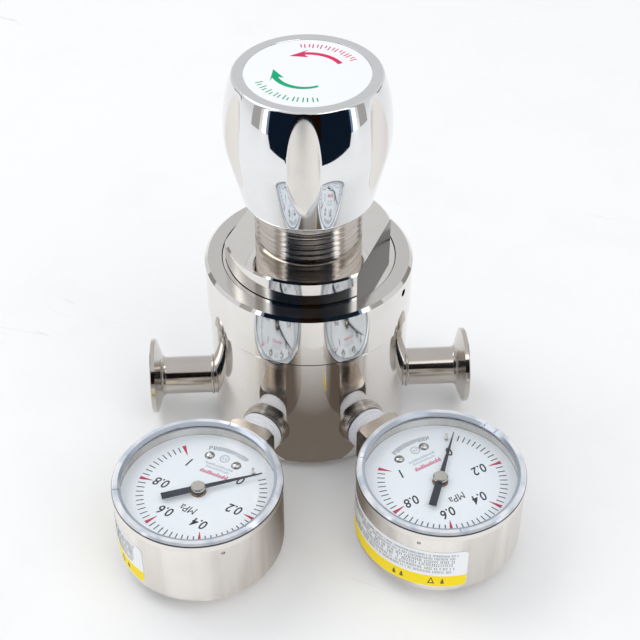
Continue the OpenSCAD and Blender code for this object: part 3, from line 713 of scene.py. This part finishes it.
for name, side in SIDES.items():
    matrix = gauge_frame(name, side)
    axis = (matrix.translation.x, matrix.translation.y, 0.0)
    # the case's darker vertical bands (streak) are a painted reflection
    case = turned(name + "_case_satin", (0.88, 0.85, 0.81), 0.15, 0.3, centre=axis, grain=0.9,
                  pitch=0.22, smudge=0.1, reflection_streak=0.55)
    # painted light and shade: the stem's top and bottom faces are pale nickel and its sides dark brown, as
    # light falls from above
    stem = turned(name + "_stem_nickel_painted_shade", (0.20, 0.17, 0.145), 0.2, 0.22, (0.72, 0.64, 0.56),
                  centre=axis, grain=0.8, pitch=0.3)
    for mat, *parts in ((case, "case"), (stem, "stem"), (rim_material(name, axis), "bezel"),
                        (pointer_material(name), "pointer"), (glass, "window"),
                        (gasket_grey, "gasket"), (dial_white, "dial"), (inner_steel, "link"),
                        (screw_steel, "dial_screws", "stop_pin"),
                        (brass, "arbor", "movement", "sector", "bourdon")):
        finish(mat, *(name + "_gauge_" + part for part in parts))
    dial_prints(name, matrix)
    sticker(name, matrix)
    tape(name, matrix)


# ---------- knob and its label ----------

KNOB_ANG = -5.4                    # the front groove's turn from -Y, in degrees
GROOVE_R, GROOVE_D = 6.16, 28.36   # radius of a finger groove, and its axis from the knob's
KNOB_TOP = top("knob")
KNOB_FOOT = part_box("knob")[0].z / MM
BELLY_Z = KNOB_TOP - 17.8          # widest level
CONE_Z = BELLY_Z - 7.2             # below this the wall runs straight to the foot
UPPER_ARC, LOWER_ARC = 50.0, 31.3  # radii of the wall's curve over and under the belly
FOOT_R, CONE_R, BELLY_R = 20.3, 24.36, 25.2
RIM_R, RECESS_R, RECESS_D = 21.55, 18.6, 0.7
BORE_R, BORE_Z = 16.88, 126.0      # bore that runs on the neck
SEAT_R, SEAT_Z = 4.0, 129.0        # the pusher's seat above it


def barrel(z):
    """Radius of the knob's barrel without its grooves."""
    if z >= CONE_Z:
        arc = UPPER_ARC if z >= BELLY_Z else LOWER_ARC
        r = BELLY_R - arc + math.sqrt(arc ** 2 - (z - BELLY_Z) ** 2)
    else:
        r = FOOT_R + (CONE_R - FOOT_R) * (z - KNOB_FOOT) / (CONE_Z - KNOB_FOOT)
    r -= 0.55 * max(0.0, 1 - (z - KNOB_FOOT) / 0.8) ** 2
    return r - 0.42 * max(0.0, 1 - (KNOB_TOP - z) / 0.6) ** 2


def groove(a):
    """Distance of a finger groove's wall from the axis at angle a, or a far value between grooves."""
    first = math.radians(-90 + KNOB_ANG)
    d = (a - first + math.radians(30)) % math.radians(60) - math.radians(30)
    inside = GROOVE_R ** 2 - (GROOVE_D * math.sin(d)) ** 2
    return GROOVE_D * math.cos(d) - math.sqrt(inside) if inside > 0 else 99.0


def knob_radius(z, a):
    """Radius of the grooved barrel, with the grooves' edges blended."""
    blend = 0.5
    p, g = barrel(z), groove(a)
    h = max(blend - abs(p - g), 0.0) / blend
    return min(p, g) - h * h * blend / 4


def knob_mesh():
    """The whole knob as one skin: up the bore, down under the foot, up the wall and over the top."""
    height, steps = KNOB_TOP - KNOB_FOOT, 92
    levels = [KNOB_FOOT + height * (0.5 - 0.5 * math.cos(math.pi * i / steps)) for i in range(steps + 1)]
    inside = [(0.0, SEAT_Z), (SEAT_R, SEAT_Z), (SEAT_R, BORE_Z), (BORE_R, BORE_Z),
              (BORE_R, KNOB_FOOT + 1.2), (BORE_R + 1.1, KNOB_FOOT), (FOOT_R - 0.75, KNOB_FOOT)]
    cover = [(RIM_R - 0.35, KNOB_TOP), (RECESS_R + 0.12, KNOB_TOP), (RECESS_R, KNOB_TOP - 0.12),
             (RECESS_R, KNOB_TOP - RECESS_D), (0.0, KNOB_TOP - RECESS_D)]
    rings = [(r, z, False) for r, z in inside]
    rings += [(0, z, True) for z in levels]
    rings += [(r, z, False) for r, z in cover]

    def point(i, a):
        r, z, outer = rings[i]
        r = knob_radius(z, a) if outer else r
        return (r * math.cos(a), r * math.sin(a), z)

    verts, faces = lathe(point, len(rings), 576)
    obj = add_piece("knob_shell", verts, faces, knob_chrome(), "knob", "polished_steel", sharp=38)
    # how deep each point lies in a groove, for the satin finish there
    layer = obj.data.attributes.new("groove", "FLOAT", "POINT")
    for i, v in enumerate(obj.data.vertices):
        x, y, z = v.co / MM
        r = math.hypot(x, y)
        depth = barrel(z) - r if KNOB_FOOT < z < KNOB_TOP - 0.1 and r > 19.6 else 0.0
        layer.data[i].value = min(1.0, max(0.0, (depth - 0.06) / 0.3))
    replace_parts(obj, "knob")


def knob_chrome():
    """Polished barrel, satin finger grooves and a satin rim."""
    m = Mat("knob_chrome")
    p = m.object()
    x, y, z = m.split(p)
    groove_mask = m.node("ShaderNodeAttribute", {"attribute_name": "groove"}, out=2)
    rim = m.math("GREATER_THAN", z, (KNOB_TOP - 0.05) * MM)
    across = m.radius(x, y)
    rings = m.lines(across, 0.2)
    blur = m.noise(p, 60.0, 4.0, 0.6, 0.5)
    fine = m.noise(p, 1100.0, 3.0, 0.7)
    r = m.mixf(groove_mask, 0.028, 0.21)
    r = m.mixf(rim, r, 0.27)
    r = m.math("ADD", r, m.math("MULTIPLY", m.ramp(blur, 0.45, 0.75, 0.0, 1.0), 0.035))
    r = m.math("ADD", r, m.around(fine, 0.015))
    tint = m.mix(groove_mask, rgb(0.83, 0.835, 0.84), rgb(0.80, 0.765, 0.72))
    tint = m.mix(rim, tint, rgb(0.74, 0.74, 0.745))
    tint = m.mix(m.ramp(blur, 0.45, 0.8, 0.0, 0.3), tint, rgb(0.70, 0.69, 0.68))
    m.set(Base_Color=tint, Metallic=1.0, Roughness=m.math("MAXIMUM", r, 0.012))
    m.bump(m.math("MULTIPLY", rings, rim), 0.08, 0.02 * MM)
    return m.mat


def arrow(a0, r0, a1, r1, w0, w1, head_len, head_w):
    """Curved arrow from angle a0 to its tip at a1, with a swept-back head."""
    steps = 36
    way = 1 if a1 > a0 else -1
    head = math.degrees(head_len / r1) * way

    def at(t, off):
        a = a0 + (a1 - a0) * t
        return polar(a, r0 + (r1 - r0) * t + off)

    t_base = 1 - head / (a1 - a0)
    t_notch = t_base + 0.22 * (1 - t_base)
    stops = [i / steps for i in range(steps + 1)]
    inner = [at(t_notch * t, -(w0 + (w1 - w0) * t) / 2) for t in stops]
    outer = [at(t_notch * t, (w0 + (w1 - w0) * t) / 2) for t in reversed(stops)]
    return inner + [at(t_base, -head_w / 2), at(1.0, 0.0), at(t_base, head_w / 2)] + outer


def label_prints():
    """The two arrows, and rows of plain strokes for the words beside them."""
    red = arrow(24, 10.6, 117, 10.6, 1.5, 1.3, 5.8, 4.2)
    green = arrow(-71, 8.0, -193, 10.0, 0.9, 1.7, 5.8, 4.3)
    red_row = arc_cells(polar, 22, 97, 14.9, 2.2, 8, 0.34, 1)
    green_row = arc_cells(polar, -165, -79, 14.7, 2.3, 8, 0.36, 2)
    for part, polys, mat in (("red_arrow", [red], print_rose), ("green_arrow", [green], print_green),
                             ("red_row", red_row, print_rose), ("green_row", green_row, print_green)):
        add_prisms("label_" + part, polys, top("knob_label") + INK_GAP, mat, "knob", "white_label")


knob_mesh()
label_prints()


# ---------- floor, light and camera (sizes in metres) ----------

FLOOR_HALF, FLOOR_Z = 3.0, -2e-5
CARD_R, CARD_H = 0.62, 0.9   # ring of reflected cards round the front
EDGE_R, EDGE_H = 0.8, 0.3    # lower cards beside and behind
TABLE_EDGE_Y = -0.225        # the table's near edge, where the dark room begins
GAP_X, GAP_Y0, GAP_Y1 = 0.037, -0.092, -0.033   # shaded floor between the gauge stems


def stage_mesh(name, verts, faces, mat):
    mesh = bpy.data.meshes.new(name)
    mesh.from_pydata(verts, [], faces)
    obj = bpy.data.objects.new(name, mesh)
    bpy.context.scene.collection.objects.link(obj)
    mesh.materials.append(mat)
    return obj


def stage_sheet(name, x0, x1, y0, y1, z, mat):
    return stage_mesh(name, [(x0, y0, z), (x1, y0, z), (x1, y1, z), (x0, y1, z)], [(0, 1, 2, 3)], mat)


def reflected_only(obj):
    for way in ("camera", "diffuse", "transmission", "shadow", "volume_scatter"):
        setattr(obj, "visible_" + way, False)


def arc_card(name, a0, a1, mat, radius=CARD_R, height=CARD_H):
    """Curved card round the stage that only reflections see; angles from the front, in degrees."""
    steps = 24
    verts = []
    for i in range(steps + 1):
        a = math.radians(a0 + (a1 - a0) * i / steps)
        for z in (0.0, height):
            verts.append((radius * math.sin(a), -radius * math.cos(a), z))
    faces = [(2 * i, 2 * i + 2, 2 * i + 3, 2 * i + 1) for i in range(steps)]
    reflected_only(stage_mesh(name, verts, faces, mat))


def floor_material():
    """White table top with faint scuffs and smudges."""
    m = Mat("floor_white")
    p = m.object()
    turned_p = m.node("ShaderNodeVectorRotate", {"rotation_type": "Z_AXIS"}, Vector=p, Angle=0.5)
    long_p = m.vector("MULTIPLY", turned_p, (0.12, 1.0, 1.0))
    scuff = m.ramp(m.noise(long_p, 190.0, 5.0, 0.65, 0.8), 0.63, 0.70, 0.0, 1.0)
    patch = m.ramp(m.noise(p, 9.0, 3.0, 0.5), 0.52, 0.66, 0.0, 1.0)
    smudge = m.ramp(m.noise(p, 26.0, 4.0, 0.6, 0.5), 0.5, 0.75, 0.0, 1.0)
    marks = m.math("MULTIPLY", m.math("MULTIPLY", scuff, patch), 0.55)
    tint = m.mix(m.math("MULTIPLY", smudge, 0.5), rgb(0.955, 0.96, 0.965), rgb(0.91, 0.915, 0.92))
    m.set(Base_Color=m.mix(marks, tint, rgb(0.72, 0.73, 0.74)), Roughness=m.mixf(marks, 0.5, 0.6))
    m.bsdf.inputs["Specular IOR Level"].default_value = 0.2
    m.bsdf.inputs["Emission Color"].default_value = rgb(0.95, 0.97, 1.0)
    m.bsdf.inputs["Emission Strength"].default_value = 0.03
    return m.mat


def glow(name, color, strength):
    """Card that gives off an even light of its own and takes none."""
    m = Mat(name)
    m.set(Base_Color=rgb(0, 0, 0), Roughness=1.0, Emission_Color=color)
    m.bsdf.inputs["Emission Strength"].default_value = strength
    m.bsdf.inputs["Specular IOR Level"].default_value = 0.0
    return m


def shade_material():
    """Floor shade between the stems: dark brown next to the body, fading to the floor's level."""
    m = glow("card_shade", rgb(0, 0, 0), 1.0)
    x, y, z = m.split(m.object())
    along = m.ramp(y, -0.098, -0.056, 0.0, 1.0)
    across = m.ramp(m.math("ABSOLUTE", x), 0.036, 0.020, 0.0, 1.0)
    depth = m.math("MULTIPLY", along, across)
    m.set(Emission_Color=m.mix(depth, rgb(0.80, 0.79, 0.78), rgb(0.175, 0.15, 0.13)))
    return m.mat


def reflected_cards():
    """What the polished steel mirrors: a dark room in front, and bright strips at its sides."""
    navy = glow("card_navy", rgb(0.10, 0.20, 0.42), 0.05).mat
    brown = glow("card_brown", rgb(0.30, 0.13, 0.06), 0.03).mat
    strip = glow("card_strip", rgb(0.96, 0.98, 1.0), 1.7).mat
    haze = glow("card_haze", rgb(0.45, 0.60, 0.88), 0.5).mat
    grey = glow("card_grey", rgb(1.0, 0.97, 0.94), 0.42).mat
    dim = glow("card_dim", rgb(1.0, 0.97, 0.94), 0.3).mat
    arc_card("card_middle", -14, 14, brown)
    for tag, way in (("left", -1), ("right", 1)):
        arc_card("card_" + tag, way * 14, way * 54, navy)
        arc_card("card_haze_" + tag, way * 54, way * 57, haze)
        arc_card("card_strip_" + tag, way * 57, way * 63, strip)
        arc_card("card_grey_" + tag, way * 67, way * 80, grey)
        arc_card("card_edge_" + tag, way * 104, way * 124, dim, EDGE_R, EDGE_H)
    room = [(-0.27, TABLE_EDGE_Y), (0.27, TABLE_EDGE_Y)]
    room += [polar(a, 0.63) for a in range(-36, -147, -3)]
    floor_edge = stage_mesh("card_table_edge", [(x, y, 0.0004) for x, y in room],
                            [tuple(range(len(room)))], navy)
    reflected_only(floor_edge)
    reflected_only(stage_sheet("card_stem_gap", -GAP_X, GAP_X, GAP_Y0, GAP_Y1, 0.0003, shade_material()))


def area(name, loc, size, power, color=(1, 1, 1)):
    """Soft round lamp aimed at the object."""
    data = bpy.data.lights.new(name, "AREA")
    data.shape = "DISK"
    data.size = size
    data.energy = power
    data.color = color
    obj = bpy.data.objects.new(name, data)
    bpy.context.scene.collection.objects.link(obj)
    obj.location = loc
    obj.rotation_euler = (Vector((0, 0, 0.05)) - Vector(loc)).to_track_quat("-Z", "Y").to_euler()
    obj.visible_camera = False


stage_sheet("floor", -FLOOR_HALF, FLOOR_HALF, -FLOOR_HALF, FLOOR_HALF, FLOOR_Z, floor_material())
reflected_cards()

world = bpy.data.worlds.new("studio")
bpy.context.scene.world = world
world.use_nodes = True
sky = world.node_tree.nodes["Background"]
sky.inputs[0].default_value = rgb(0.97, 0.98, 1.0)
sky.inputs[1].default_value = 0.78

area("key", (-0.55, 0.25, 1.0), 0.7, 2.6)
area("fill", (0.5, -0.5, 0.9), 0.8, 1.8, (1.0, 0.99, 0.97))

# place and angle of the photograph's camera, found from the edges of the ferrules, rims and bezels
camera_data = bpy.data.cameras.new("photo_camera")
camera_data.sensor_width = 36.0
camera_data.lens = 76.46
camera_data.clip_start = 0.01
camera = bpy.data.objects.new("photo_camera", camera_data)
bpy.context.scene.collection.objects.link(camera)
camera.location = (-0.01508, -0.33868, 0.33345)
camera.rotation_euler = (math.radians(48.846), 0.0, math.radians(-3.152))
bpy.context.scene.camera = camera
bpy.context.scene.view_settings.view_transform = "Standard"
